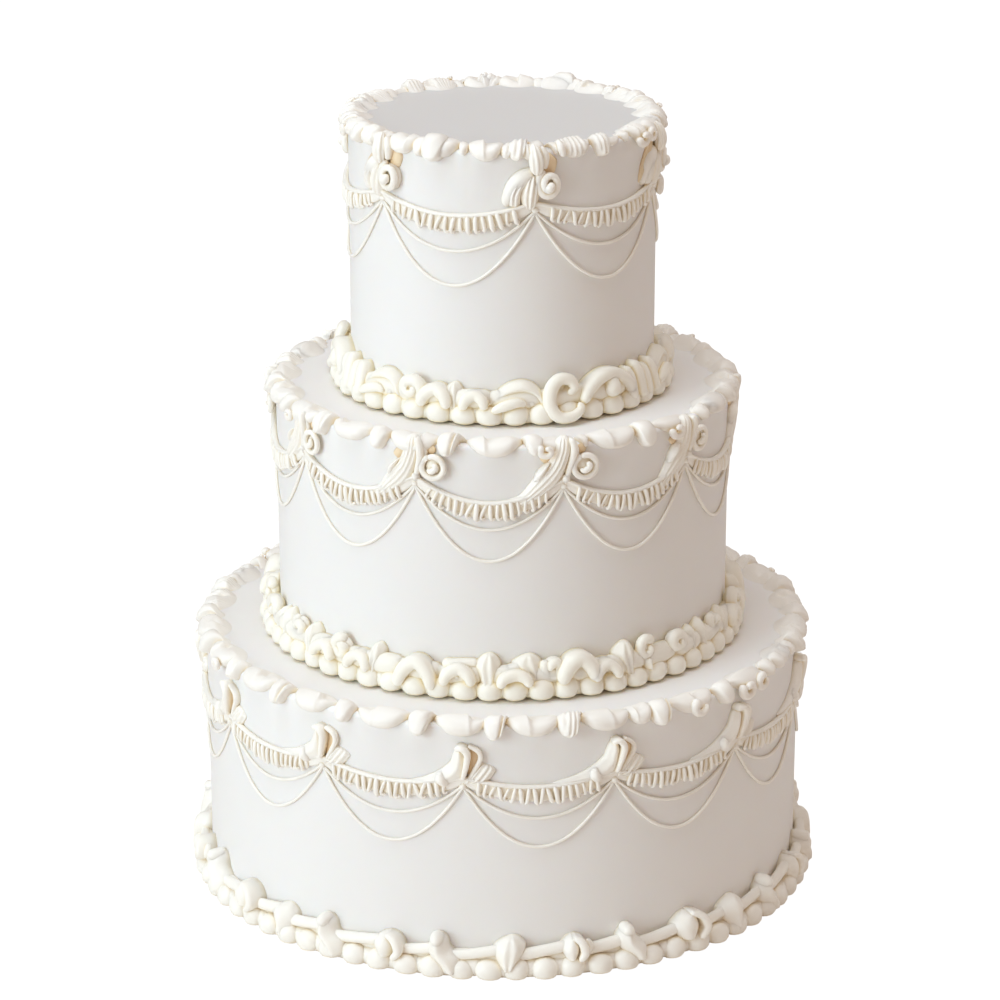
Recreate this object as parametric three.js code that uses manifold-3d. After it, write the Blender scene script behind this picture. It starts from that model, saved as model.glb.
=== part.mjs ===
// Three-tier wedding cake, uncut and covered with smooth white icing, with piped borders, ribbed
// garlands, drop strings and piped shells. Millimetres, +Z up, origin at the centre of the base.
// Angles round the cake are 0 at the front (-Y) and grow towards +X.
import * as THREE from 'three';
import { LoftGeometry } from 'three/addons/geometries/LoftGeometry.js';
import { mergeVertices } from 'three/addons/utils/BufferGeometryUtils.js';
import Module from 'manifold-3d';

const wasm = await Module();
wasm.setup();

const TURN = 2 * Math.PI;
const DEGREE = Math.PI / 180;

// Clear space between one piece and the next
const GAP = 0.3;

// The three tiers, baked in 12, 9 and 6 inch tins. Drop heights are measured down from the tier's
// top; "swags" is the number of garlands round the tier and "swagStart" the angle of the first
// drop point.
const TIERS = {
  bottom: {
    radius: 152.4, height: 130.5, sides: 40,
    pearls: 72, scrolls: 32, lobes: 24, lobeStart: 0,
    swags: 13, swagStart: -7.1, ribs: 4, stringSteps: 4,
    dropDepth: 28, bandDepth: 34.5, upperStringDepth: 47.5, lowerStringDepth: 62.5,
  },
  middle: {
    radius: 114.3, height: 127.5, sides: 32,
    pearls: 60, scrolls: 36, lobes: 20, lobeStart: 5,
    swags: 10, swagStart: 14.7, ribs: 4, stringSteps: 4,
    dropDepth: 18.5, bandDepth: 31.5, upperStringDepth: 41.5, lowerStringDepth: 57.5,
  },
  top: {
    radius: 76.2, height: 134.5, sides: 24,
    pearls: 40, scrolls: 21, lobes: 22, lobeStart: 2,
    swags: 6, swagStart: 11.6, ribs: 4, stringSteps: 4,
    dropDepth: 27, bandDepth: 35.5, upperStringDepth: 49.5, lowerStringDepth: 66.5,
  },
};
const STACK = ['bottom', 'middle', 'top'];

// Round pearls at the foot of each tier: how far they stand out and half their height
const PEARL = { corners: 5, depth: 5.4, halfHeight: 5.2, neck: 0.55 };
// Scroll rope above the pearls
const SCROLL = {
  foot: 10.6, shellWidth: 0.2, shellHeight: 13, shellOut: 6.6, ropeHeight: 5, ropeOut: 4.6, rise: 4.5,
};
// Ribbed garland
const BAND = { halfHeight: 4.1, ribOut: 3.2, valleyOut: 1.4 };
// Thin drop strings
const STRING = { halfHeight: 0.8, thickness: 1.3 };

const ICING = new THREE.Color(0xf1ece4);
const PIPING = new THREE.Color(0xf8f2e6);

const cake = new THREE.Group();
cake.name = 'tiered_wedding_cake';

function addPiece(name, geometry, color, roughness) {
  const material = new THREE.MeshStandardMaterial({ color, roughness, metalness: 0 });
  const mesh = new THREE.Mesh(geometry, material);
  mesh.name = name;
  cake.add(mesh);
  return mesh;
}

// Welds a geometry's seams, drops triangles that have collapsed and turns its faces outwards.
function closedSolid(geometry) {
  const bare = new THREE.BufferGeometry();
  bare.setAttribute('position', geometry.getAttribute('position'));
  bare.setIndex(geometry.index);
  const welded = mergeVertices(bare, 1e-3);
  const position = welded.getAttribute('position');
  const corner = [new THREE.Vector3(), new THREE.Vector3(), new THREE.Vector3()];
  const index = [];
  let volume = 0;
  for (let i = 0; i < welded.index.count; i += 3) {
    const ids = [0, 1, 2].map((k) => welded.index.getX(i + k));
    if (new Set(ids).size < 3) continue;
    ids.forEach((id, k) => corner[k].fromBufferAttribute(position, id));
    volume += corner[0].dot(corner[1].clone().cross(corner[2]));
    index.push(...ids);
  }
  if (volume < 0) index.reverse();
  welded.setIndex(index);
  welded.computeVertexNormals();
  return welded;
}

// Joins overlapping closed geometries into one closed solid.
function joined(geometries) {
  const solids = geometries.map((geometry) => {
    const closed = closedSolid(geometry);
    return new wasm.Manifold(new wasm.Mesh({
      numProp: 3,
      vertProperties: closed.getAttribute('position').array,
      triVerts: Uint32Array.from(closed.index.array),
    }));
  });
  const mesh = solids.reduce((sum, solid) => sum.add(solid)).getMesh();
  const geometry = new THREE.BufferGeometry();
  geometry.setAttribute('position', new THREE.BufferAttribute(mesh.vertProperties, 3));
  geometry.setIndex(new THREE.BufferAttribute(mesh.triVerts, 1));
  geometry.computeVertexNormals();
  return geometry;
}

// A ring of piping on a tier. Each station has an angle in radians and a section: a list of
// [outward, up] corners measured from the tier's wall and from the height given.
function pipedRing(radius, height, stations) {
  const loops = [...stations, stations[0]].map((station) => station.section.map(([out, up]) => {
    const reach = radius + out;
    return new THREE.Vector3(
      reach * Math.sin(station.angle), -reach * Math.cos(station.angle), height + up);
  }));
  return closedSolid(new LoftGeometry(loops));
}

// Repeats a pitch of stations round the tier. "shares" are places within one pitch, from 0 to 1.
function roundTheTier(count, startDegrees, shares, sectionAt) {
  const stations = [];
  for (let k = 0; k < count; k += 1) {
    for (const share of shares) {
      const angle = startDegrees * DEGREE + (k + share) / count * TURN;
      stations.push({ angle, section: sectionAt(share) });
    }
  }
  return stations;
}

// Tier: solid cake, its top edge hidden under the border
function makeTier(tier, base) {
  const profile = [[0, 0], [tier.radius, 0], [tier.radius, tier.height], [0, tier.height]]
    .map(([r, z]) => new THREE.Vector2(r, z));
  const geometry = new THREE.LatheGeometry(profile, tier.sides);
  geometry.rotateX(Math.PI / 2);
  geometry.translate(0, 0, base);
  return closedSolid(geometry);
}

// Border over the top edge: a narrow upright teardrop and a wide drooping petal, again and again.
// "inner" is its reach over the tier's top, "out" its reach past the wall, "drop" its lower lip.
const TEARDROP = { inner: 6.5, crest: 7, out: 6.2, drop: 6.6 };
const NOTCH = { inner: 5, crest: 2.6, out: 2.8, drop: 2.8 };
const PETAL = { inner: 10, crest: 4.4, out: 6, drop: 5.9 };
const BORDER_PITCH = [
  { share: 0.055, form: TEARDROP },
  { share: 0.15, form: NOTCH },
  { share: 0.34, form: PETAL },
  { share: 0.66, form: PETAL },
  { share: 0.85, form: NOTCH },
  { share: 0.945, form: TEARDROP },
];

function makeTopBorder(tier, top) {
  const sectionAt = (share) => {
    const { inner, crest, out, drop } = BORDER_PITCH.find((station) => station.share === share).form;
    return [
      [-inner, GAP],
      [GAP, GAP],
      [0.85 * out, -drop],
      [0.1 * out, crest],
    ];
  };
  const shares = BORDER_PITCH.map((station) => station.share);
  return pipedRing(tier.radius, top, roundTheTier(tier.lobes, tier.lobeStart, shares, sectionAt));
}

// Pearls at the foot, each one touching the next
function makePearls(tier, base) {
  const centreOut = GAP + PEARL.depth * Math.cos(Math.PI / PEARL.corners);
  const centreUp = GAP + PEARL.halfHeight * Math.sin(TURN / PEARL.corners);
  const sectionAt = (share) => {
    const size = share === 0.5 ? 1 : PEARL.neck;
    return Array.from({ length: PEARL.corners }, (_, k) => {
      const turn = k / PEARL.corners * TURN;
      return [
        centreOut + size * PEARL.depth * Math.cos(turn),
        centreUp + size * PEARL.halfHeight * Math.sin(turn),
      ];
    });
  };
  return pipedRing(tier.radius, base, roundTheTier(tier.pearls, 0, [0, 0.5], sectionAt));
}

// Scroll rope above the pearls: an upright shell, then a rope that rises into the next shell
function makeScrolls(tier, base) {
  const sectionAt = (share) => {
    const shell = share < SCROLL.shellWidth + 0.01;
    const height = shell ? SCROLL.shellHeight : SCROLL.ropeHeight;
    const out = shell ? SCROLL.shellOut : SCROLL.ropeOut;
    const low = SCROLL.foot + (shell ? 0 : SCROLL.rise * share);
    return [
      [GAP, low],
      [out, low + 0.45 * height],
      [GAP, low + height],
    ];
  };
  const shares = [0, SCROLL.shellWidth, 0.45, 0.75];
  return pipedRing(tier.radius, base, roundTheTier(tier.scrolls, 4, shares, sectionAt));
}

// How far below the drop point a swag hangs at a share of its span: a parabola
function sagAt(share) {
  return 4 * share * (1 - share);
}

// Ribbed garland that swings from drop point to drop point
function makeBand(tier, top) {
  const shares = Array.from({ length: 2 * tier.ribs }, (_, k) => k / (2 * tier.ribs));
  const sectionAt = (share) => {
    const valley = Math.round(share * 2 * tier.ribs) % 2 === 0;
    const halfHeight = BAND.halfHeight * (0.45 + 0.55 * Math.sqrt(sagAt(share)));
    const centre = -tier.dropDepth - (tier.bandDepth - tier.dropDepth) * sagAt(share);
    const out = valley ? BAND.valleyOut : BAND.ribOut;
    return [
      [2 * GAP, centre - halfHeight],
      [out, centre],
      [2 * GAP, centre + halfHeight],
    ];
  };
  const stations = roundTheTier(tier.swags, tier.swagStart, shares, sectionAt);
  return pipedRing(tier.radius, top, stations);
}

// Thin string of icing from drop point to drop point
function makeString(tier, top, dropDepth, lowestDepth) {
  const steps = tier.stringSteps;
  const shares = Array.from({ length: steps }, (_, k) => k / steps);
  const span = TURN / tier.swags * tier.radius;
  const depth = lowestDepth - dropDepth;
  // The string's straight steps cut inside their corners, so the corners stand further out
  const inner = (tier.radius + GAP) / Math.cos(Math.PI / (tier.swags * steps)) - tier.radius;
  const sectionAt = (share) => {
    const slope = 4 * depth * (1 - 2 * share) / span;
    const halfHeight = STRING.halfHeight * Math.min(1.7, Math.hypot(1, slope));
    const centre = -dropDepth - depth * sagAt(share);
    return [
      [inner, centre - halfHeight],
      [inner + STRING.thickness, centre],
      [inner, centre + halfHeight],
    ];
  };
  const stations = roundTheTier(tier.swags, tier.swagStart, shares, sectionAt);
  return pipedRing(tier.radius, top, stations);
}

// Piped stroke on the wall: swells between its two ends. Points are [right, up] on the wall, with
// outward as -Y, and the bend is the control point of its curve.
function pipedStroke(start, bend, end, halfWidth, out, steps, startSwell, endSwell, crown = 0.55) {
  const curve = new THREE.QuadraticBezierCurve(
    new THREE.Vector2(...start), new THREE.Vector2(...bend), new THREE.Vector2(...end));
  const loops = [];
  for (let i = 0; i <= steps; i += 1) {
    const share = i / steps;
    const point = curve.getPoint(share);
    const side = curve.getTangent(share);
    const ends = startSwell + (endSwell - startSwell) * share;
    const swell = ends + (1 - ends) * Math.sin(Math.PI * share);
    const corners = crown > 0 ? [[1, 0], [crown, 1], [-crown, 1], [-1, 0]] : [[1, 0], [0, 1], [-1, 0]];
    loops.push(corners.map(([across, depth]) => new THREE.Vector3(
      point.x - side.y * across * halfWidth * swell,
      -(GAP + depth * out * swell),
      point.y + side.x * across * halfWidth * swell)));
  }
  return new LoftGeometry(loops, { capStart: true, capEnd: true });
}

// Piped swirl: a low dome with its axis pointing away from the wall
function pipedSwirl(right, up, radius, out, sides) {
  const profile = [[0, 0], [radius, 0], [0.75 * radius, 0.75 * out], [0, out]]
    .map(([r, z]) => new THREE.Vector2(r, z));
  const geometry = new THREE.LatheGeometry(profile, sides);
  geometry.rotateX(Math.PI);
  geometry.translate(right, -GAP, up);
  return geometry;
}

// Top tier: hanging shell, fan of shells to the left and a round swirl to the right
function makeShellRosette() {
  return joined([
    pipedStroke([0, -6.9], [0, -9], [0.5, -15], 2.9, 5.2, 2, 0.5, 0.7),
    pipedStroke([0.5, -13], [-4, -15], [-8.5, -21], 2.6, 4.6, 2, 0.6, 0.35, 0),
    pipedStroke([1, -15], [-1, -18], [-3.2, -22.3], 2.4, 4.2, 2, 0.6, 0.4, 0),
    pipedSwirl(4.2, -16.6, 6, 6.2, 5),
  ]);
}

// Middle tier: scroll arm that rises to the border, a bead and a round swirl on its right
function makeScrollRosette() {
  return joined([
    pipedStroke([-9, -14.6], [-0.5, -14.2], [0.5, -6.9], 3, 5.4, 3, 0.35, 0.6),
    pipedSwirl(3, -13, 3.2, 4.4, 4),
    pipedSwirl(8.8, -11.3, 5.4, 6, 5),
  ]);
}

// Bottom tier: tall horn-shaped shell that rises above the drop point
function makeHornShell() {
  return closedSolid(pipedStroke([-13, -25.4], [0.5, -23.4], [0.5, -7.1], 4.1, 6.4, 3, 0.3, 0.45));
}

const ORNAMENTS = {
  top: { name: 'shell_rosette_top', make: makeShellRosette },
  middle: { name: 'scroll_rosette_middle', make: makeScrollRosette },
  bottom: { name: 'horn_shell_bottom', make: makeHornShell },
};

// Piped ornaments above the drop points, all alike on one tier
function addOrnaments(name, tier, top) {
  const ornament = ORNAMENTS[name];
  const geometry = ornament.make();
  for (let k = 0; k < tier.swags; k += 1) {
    const angle = tier.swagStart * DEGREE + k / tier.swags * TURN;
    const mesh = addPiece(`${ornament.name}_${k + 1}`, geometry, PIPING, 0.45);
    mesh.position.set(tier.radius * Math.sin(angle), -tier.radius * Math.cos(angle), top);
    mesh.rotation.z = angle;
  }
}

let base = 0;
for (const name of STACK) {
  const tier = TIERS[name];
  const top = base + tier.height;
  addPiece(`cake_tier_${name}`, makeTier(tier, base), ICING, 0.6);
  addPiece(`foot_pearls_${name}`, makePearls(tier, base), PIPING, 0.4);
  addPiece(`foot_scrolls_${name}`, makeScrolls(tier, base), PIPING, 0.45);
  addPiece(`top_border_${name}`, makeTopBorder(tier, top), PIPING, 0.45);
  addPiece(`ribbed_garland_${name}`, makeBand(tier, top), PIPING, 0.45);
  const upperDrop = tier.dropDepth + 3.8;
  addPiece(`upper_string_${name}`, makeString(tier, top, upperDrop, tier.upperStringDepth), PIPING, 0.4);
  const lowerDrop = upperDrop + 3.2;
  addPiece(`lower_string_${name}`, makeString(tier, top, lowerDrop, tier.lowerStringDepth), PIPING, 0.4);
  addOrnaments(name, tier, top);
  base = top + GAP;
}

export default cake;
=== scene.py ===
import math

import bpy
import numpy as np
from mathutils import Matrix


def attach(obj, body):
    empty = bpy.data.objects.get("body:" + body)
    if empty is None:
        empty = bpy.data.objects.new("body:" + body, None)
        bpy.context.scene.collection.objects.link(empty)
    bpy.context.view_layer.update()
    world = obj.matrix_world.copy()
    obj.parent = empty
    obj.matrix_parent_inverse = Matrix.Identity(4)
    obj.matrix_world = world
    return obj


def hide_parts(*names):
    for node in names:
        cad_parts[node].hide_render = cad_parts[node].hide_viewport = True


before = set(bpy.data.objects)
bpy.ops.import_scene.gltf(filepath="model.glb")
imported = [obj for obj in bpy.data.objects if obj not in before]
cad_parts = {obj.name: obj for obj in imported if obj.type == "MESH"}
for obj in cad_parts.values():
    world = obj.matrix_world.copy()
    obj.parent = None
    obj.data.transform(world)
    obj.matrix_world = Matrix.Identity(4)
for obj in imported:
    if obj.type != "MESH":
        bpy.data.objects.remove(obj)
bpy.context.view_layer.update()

# Camera
# It is 1.74 m in front of the cake's axis and 0.79 m above its base, and looks down at the middle
# tier through a long lens, so that all three tiers keep their proportions.
camera = bpy.data.cameras.new("camera")
camera.sensor_width = 36
camera.lens = 129.6
camera.shift_x = -0.0025
viewpoint = bpy.data.objects.new("camera", camera)
viewpoint.location = (0, -1.740, 0.789)
viewpoint.rotation_euler = (math.radians(90 - 18.92), 0, 0)
bpy.context.collection.objects.link(viewpoint)
bpy.context.scene.camera = viewpoint

# Studio
# A pale floor under a pale, warm sky. A large, cool lamp is low at the left front, others hang
# high to the left and right, and two weak ones soften the taupe shade on the cake's right side.
FLOOR_HALF, FLOOR_BELOW = 8.0, 0.0002
AIMED_AT = 0.2
# Degrees to the right of the front and up, distance and size in metres, watts, and colour
LAMPS = {
    "key_lamp": (-52, 14, 3.2, 1.8, 53.5, (0.83, 1.0, 1.10)),
    "top_lamp": (-50, 64, 2.6, 1.6, 17, (0.90, 1.0, 1.08)),
    "left_lamp": (-95, 80, 2.6, 1.6, 6.5, (0.90, 1.02, 1.12)),
    "back_lamp": (95, 84, 2.6, 1.6, 17, (0.94, 1.0, 1.05)),
    "fill_lamp": (34, 5, 3.0, 2.6, 5.2, (1.0, 0.75, 0.56)),
    "rim_lamp": (112, 12, 3.0, 1.2, 6, (0.95, 1.0, 1.08)),
}
for name, (turn, rise, far, size, power, color) in LAMPS.items():
    turn, rise = math.radians(turn), math.radians(rise)
    lamp = bpy.data.lights.new(name, "AREA")
    lamp.size, lamp.energy, lamp.color = size, power, color
    level = far * math.cos(rise)
    hung = bpy.data.objects.new(name, lamp)
    hung.location = (level * math.sin(turn), -level * math.cos(turn),
                     AIMED_AT + far * math.sin(rise))
    hung.rotation_euler = (math.pi / 2 - rise, 0, turn)
    bpy.context.collection.objects.link(hung)


def adder(tree):
    """Function that adds a node to a tree. It sets a plain value on the node's socket, and links
    another node's output, or a number of this tree's sums. n3 is the socket with number 3."""
    def add(kind, settings=None, **inputs):
        made = tree.nodes.new(kind)
        for key, value in (settings or {}).items():
            setattr(made, key, value)
        for key, value in inputs.items():
            socket = made.inputs[int(key[1:]) if key[1:].isdigit() else key.replace("_", " ")]
            value = getattr(value, "source", value)
            if isinstance(value, bpy.types.NodeSocket):
                tree.links.new(value, socket)
            else:
                socket.default_value = value
        return made
    return add


def fresh_nodes(owner):
    """Empties the nodes of a sky or a material and gives the function that adds to them."""
    owner.use_nodes = True
    owner.node_tree.nodes.clear()
    return adder(owner.node_tree)


def seen_and_lit(add, seen, lit, output):
    """What the eye sees is one shader, and what lights the cake is another."""
    path = add("ShaderNodeLightPath")
    mix = add("ShaderNodeMixShader", n0=path.outputs["Is Camera Ray"], n1=lit.outputs[0],
              n2=seen.outputs[0])
    add(output, Surface=mix.outputs[0])


sky = bpy.data.worlds.new("sky")
add = fresh_nodes(sky)
seen_and_lit(add, add("ShaderNodeBackground", Color=(1, 1, 1, 1)),
             add("ShaderNodeBackground", Color=(1.0, 0.77, 0.61, 1), Strength=0.325),
             "ShaderNodeOutputWorld")
bpy.context.scene.world = sky

floor_finish = bpy.data.materials.new("floor_paper")
add = fresh_nodes(floor_finish)
paper = add("ShaderNodeBsdfDiffuse", Color=(0.87, 0.82, 0.77, 1))
glow = add("ShaderNodeEmission", Color=(1, 1, 1, 1), Strength=1.16)
seen_and_lit(add, add("ShaderNodeMixShader", n0=0.86, n1=paper.outputs[0], n2=glow.outputs[0]),
             paper, "ShaderNodeOutputMaterial")
floor_mesh = bpy.data.meshes.new("floor")
floor_mesh.from_pydata([(x * FLOOR_HALF, y * FLOOR_HALF, -FLOOR_BELOW)
                        for x, y in ((-1, -1), (1, -1), (1, 1), (-1, 1))], [], [(0, 1, 2, 3)])
floor_mesh.materials.append(floor_finish)
floor = bpy.data.objects.new("floor", floor_mesh)
bpy.context.collection.objects.link(floor)
bpy.context.scene.view_settings.view_transform = "Standard"

# Tiers of cake
# Three round sponge cakes from 6, 9 and 12 inch tins, stacked on each other and covered with a
# thick coat of white icing, which is smoothed with a scraper until it is even and matt.
MM = 0.001
TURN = 2 * math.pi
TIERS = {
    "bottom": dict(radius=152.4, base=0.0, height=130.5, pearls=72, scrolls=32, lobes=24,
                   lobe_start=0.0, swags=13, swag_start=-7.1, ribs=18, drop=28.0, band=34.5,
                   upper=47.5, lower=62.5),
    "middle": dict(radius=114.3, base=130.8, height=127.5, pearls=60, scrolls=36, lobes=20,
                   lobe_start=5.0, swags=10, swag_start=14.7, ribs=18, drop=18.5, band=31.5,
                   upper=41.5, lower=57.5),
    "top": dict(radius=76.2, base=258.6, height=134.5, pearls=40, scrolls=21, lobes=22,
                lobe_start=2.0, swags=6, swag_start=11.6, ribs=18, drop=27.0, band=35.5,
                upper=49.5, lower=66.5),
}
TIER_SIDES = 192
EDGE_ROUND = 2.4


def noise(add, scale, detail=2.0, roughness=0.5):
    """Noise that stays on the piece, with scale patches to a metre."""
    place = add("ShaderNodeTexCoord").outputs["Object"]
    return add("ShaderNodeTexNoise", Vector=place, Scale=scale, Detail=detail,
               Roughness=roughness).outputs["Fac"]


def ranged(add, value, **ends):
    """Value in another range: n1 and n2 are its old ends, n3 and n4 the new ones."""
    return add("ShaderNodeMapRange", Value=value, **ends).outputs["Result"]


def tinted(add, share, *colors):
    """Mixes two colours, each of them three numbers or another node's output."""
    first, second = ((*color, 1) if isinstance(color, tuple) else color for color in colors)
    return add("ShaderNodeMix", dict(data_type="RGBA"), n0=share, n6=first, n7=second).outputs[2]


def bumped(add, height, strength, distance, **under):
    """Relief, over other relief if that is given."""
    return add("ShaderNodeBump", Strength=strength, Distance=distance, Height=height,
               **under).outputs["Normal"]


def icing_skin(add, **inputs):
    """Icing that lets a little light in."""
    skin = add("ShaderNodeBsdfPrincipled", **inputs)
    add("ShaderNodeOutputMaterial", Surface=skin.outputs["BSDF"])


def smooth_icing(name, painted_top_tint):
    """Matt white icing whose flat top has another tint than its wall, as painted light where
    it is lighter and painted shade where it is greyer.
    """
    finish = bpy.data.materials.new(name)
    add = fresh_nodes(finish)
    # Broad, faint clouds where the scraper has spread the coat thicker or thinner
    wall = tinted(add, noise(add, 16.0, 3.0), (0.835, 0.822, 0.808), (0.865, 0.855, 0.842))
    # Mask of the flat top, which gets the painted tint
    facing = add("ShaderNodeSeparateXYZ", Vector=add("ShaderNodeNewGeometry").outputs["Normal"])
    painted_top_mask = ranged(add, facing.outputs["Z"], n1=0.80, n2=0.99)
    # Sugar grain finer than a millimetre, over slow scraper waves
    grain = noise(add, 900.0, 2.0, 0.55)
    waves = bumped(add, noise(add, 38.0, 2.0, 0.4), 0.25, 0.0010)
    icing_skin(add, Base_Color=tinted(add, painted_top_mask, wall, painted_top_tint),
               Roughness=ranged(add, grain, n3=0.46, n4=0.60),
               Normal=bumped(add, grain, 0.12, 0.0002, Normal=waves),
               IOR=1.42, Specular_IOR_Level=0.35, Subsurface_Weight=0.25,
               Subsurface_Radius=(1.0, 0.72, 0.48), Subsurface_Scale=0.003)
    return finish


def new_piece(name, shell, finish):
    """Makes an object from a shell of corners in mm and faces."""
    corners, faces = shell
    mesh = bpy.data.meshes.new(name)
    mesh.from_pydata((np.asarray(corners) * MM).tolist(), [], faces)
    mesh.materials.append(finish)
    mesh.polygons.foreach_set("use_smooth", [True] * len(mesh.polygons))
    mesh.update()
    piece = bpy.data.objects.new(name, mesh)
    bpy.context.collection.objects.link(piece)
    return piece


def stands_for(node_name, slot, *pieces):
    """Pieces that ride with the cake and replace a node. The slot is not used."""
    for piece in pieces:
        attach(piece, "root")
        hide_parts(node_name)


def closed_shell(corners, sides):
    """Shell whose corners run from one pole, ring by ring, to the other."""
    last = len(corners) - 1
    top = last - sides
    faces = []
    for k in range(sides):
        after = (k + 1) % sides
        faces.append((0, 1 + after, 1 + k))
        for low in range(1, top, sides):
            faces.append((low + k, low + after, low + sides + after, low + sides + k))
        faces.append((top + k, top + after, last))
    return np.array(corners), faces


def turned(profile, sides):
    """Shell turned round the cake's axis from [radius, height] points that start and end on it."""
    corners = [(0.0, 0.0, profile[0][1])]
    for reach, height in profile[1:-1]:
        for k in range(sides):
            angle = k / sides * TURN
            corners.append((reach * math.sin(angle), -reach * math.cos(angle), height))
    corners.append((0.0, 0.0, profile[-1][1]))
    return closed_shell(corners, sides)


# The lower tiers' flat tops are lighter than their walls: painted light
lit_top_coat = smooth_icing("smooth_icing_painted_light_top", (0.905, 0.895, 0.885))
# The top tier's flat top is a little greyer than its wall: painted shade
shaded_top_coat = smooth_icing("smooth_icing_painted_shade_top", (0.715, 0.705, 0.695))
for name, tier in TIERS.items():
    radius, base = tier["radius"], tier["base"]
    top = base + tier["height"]
    edge = [(radius - EDGE_ROUND + EDGE_ROUND * math.cos(turn),
             top - EDGE_ROUND + EDGE_ROUND * math.sin(turn))
            for turn in np.linspace(0, math.pi / 2, 6)]
    # Rings close to each corner keep the flat top and the wall flat under smooth shading
    profile = [(0, base), (radius * 0.5, base), (radius - 0.8, base), (radius, base + 0.8),
               (radius, base + 2), (radius, base + 0.5 * tier["height"]), (radius, top - 4),
               *edge, (radius - EDGE_ROUND - 1, top), (radius * 0.5, top), (0, top)]
    coat = new_piece(f"iced_tier_{name}", turned(profile, TIER_SIDES),
                     shaded_top_coat if name == "top" else lit_top_coat)
    stands_for(f"cake_tier_{name}", "smooth_icing", coat)

# Pearls at the foot
# A row of round pearls of stiff royal icing, each squeezed from a plain round nozzle against the
# foot of the tier so that it just touches the one before.
PEARL = dict(out=10.1, up=5.4, half=6.4, share_of_pitch=0.515)
# How deep icing that touches the coat has sunk into it
SUNK = 0.3


def piped_icing(name, shade, light, painted_shade_color):
    """Royal icing between two tints, with painted shade in its deepest hollows."""
    finish = bpy.data.materials.new(name)
    add = fresh_nodes(finish)
    tint = tinted(add, noise(add, 60.0), shade, light)
    # Painted butter-coloured shade in the hollows between strokes, where the occlusion is deep
    hollow = add("ShaderNodeAmbientOcclusion", dict(samples=6), Distance=0.0040).outputs["AO"]
    painted_shade_share = ranged(add, hollow, n1=0.15, n2=0.80, n3=1.0, n4=0.0)
    creases = noise(add, 240.0)
    soft = bumped(add, creases, 0.25, 0.0006)
    icing_skin(add, Base_Color=tinted(add, painted_shade_share, tint, painted_shade_color),
               Roughness=ranged(add, creases, n3=0.34, n4=0.48),
               Normal=bumped(add, noise(add, 1100.0), 0.10, 0.0002, Normal=soft),
               IOR=1.45, Specular_IOR_Level=0.42, Subsurface_Weight=0.34,
               Subsurface_Radius=(1.0, 0.95, 0.88), Subsurface_Scale=0.0020)
    return finish


def along_spline(points, shares):
    """Smooth curve through every point; shares run from 0 at the first to 1 at the last."""
    points = np.array(points, float)
    padded = np.vstack([2 * points[0] - points[1], points, 2 * points[-1] - points[-2]])
    place = np.clip(shares, 0, 1) * (len(points) - 1)
    step = np.minimum(place.astype(int), len(points) - 2)
    t = (place - step)[:, None]
    a, b, c, d = (padded[step + k] for k in range(4))
    return 0.5 * (2 * b + (c - a) * t + (2 * a - 5 * b + 4 * c - d) * t ** 2
                  + (3 * b - a - 3 * c + d) * t ** 3)


def stroke(path, sides=10, flat=1.0, ribs=0, groove=0.0, steps=None, rooted=False):
    """Stroke of icing squeezed out along a path of (along, out, up, half width) points, in mm on a
    wall, with round ends. A star nozzle leaves ribs along it. A rooted stroke has sunk on to the
    wall, so that there is no gap behind it."""
    steps = steps or 5 * len(path) + 4
    shares = 0.5 - 0.5 * np.cos(np.linspace(0, math.pi, steps))
    curve = along_spline(path, shares)
    points, half = curve[:, :3], np.maximum(curve[:, 3], 0.05)
    run = np.concatenate([[0], np.cumsum(np.linalg.norm(np.diff(points, axis=0), axis=1))])
    to_end = np.minimum(run, run[-1] - run)
    half = half * np.sqrt(1 - (1 - np.clip(to_end / half, 0, 1)) ** 2)
    tangent = np.gradient(points, axis=0)
    tangent /= np.linalg.norm(tangent, axis=1)[:, None]
    normal = np.array([0.0, 1.0, 0.0] if abs(tangent[0][1]) < 0.9 else [0.0, 0.0, 1.0])
    sides = max(sides, 4 * ribs)
    around = np.linspace(0, TURN, sides, endpoint=False)
    fluted = 1 - groove * (0.5 - 0.5 * np.cos(ribs * around))
    corners = [points[0]]
    for i in range(1, steps - 1):
        normal = normal - normal.dot(tangent[i]) * tangent[i]
        normal /= np.linalg.norm(normal)
        side = np.cross(tangent[i], normal)
        ring = points[i] + (half[i] * fluted)[:, None] * (
            np.cos(around)[:, None] * side + flat * np.sin(around)[:, None] * normal)
        if rooted:
            ring[np.sin(around) < -0.1, 1] = -SUNK
        corners.extend(ring)
    corners.append(points[-1])
    return closed_shell(corners, sides)


def pearl(half, out, up, squint=0.0):
    """Pearl as wide as 2 half and as deep as out. It is round above and settles flat below."""
    rings, sides = 9, 16
    middle = 0.5 * out
    corners = [(squint, middle, 2 * up)]
    for k in range(1, rings):
        level = math.cos(k / rings * math.pi)
        reach = math.sqrt(1 - level ** (2 if level > 0 else 4))
        for j in range(sides):
            turn = j / sides * TURN
            corners.append((half * reach * math.cos(turn) + squint * level,
                            middle + (middle + SUNK) * reach * math.sin(turn), up * (1 + level)))
    corners.append((-squint, middle, 0.0))
    return closed_shell(corners, sides)


def together(*shells):
    """Puts shells, and lists of shells, into one."""
    corners, faces, count = [], [], 0
    for shell in shells:
        for some_corners, some_faces in shell if isinstance(shell, list) else [shell]:
            corners.append(some_corners)
            faces.extend(tuple(k + count for k in face) for face in some_faces)
            count += len(some_corners)
    return np.vstack(corners), faces


def facing_out(shell):
    """Turns a closed shell's faces outwards."""
    corners, faces = shell
    volume = sum(np.dot(corners[f[0]], np.cross(corners[f[k]], corners[f[k + 1]]))
                 for f in faces for k in range(1, len(f) - 1))
    return shell if volume > 0 else (corners, [face[::-1] for face in faces])


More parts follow.
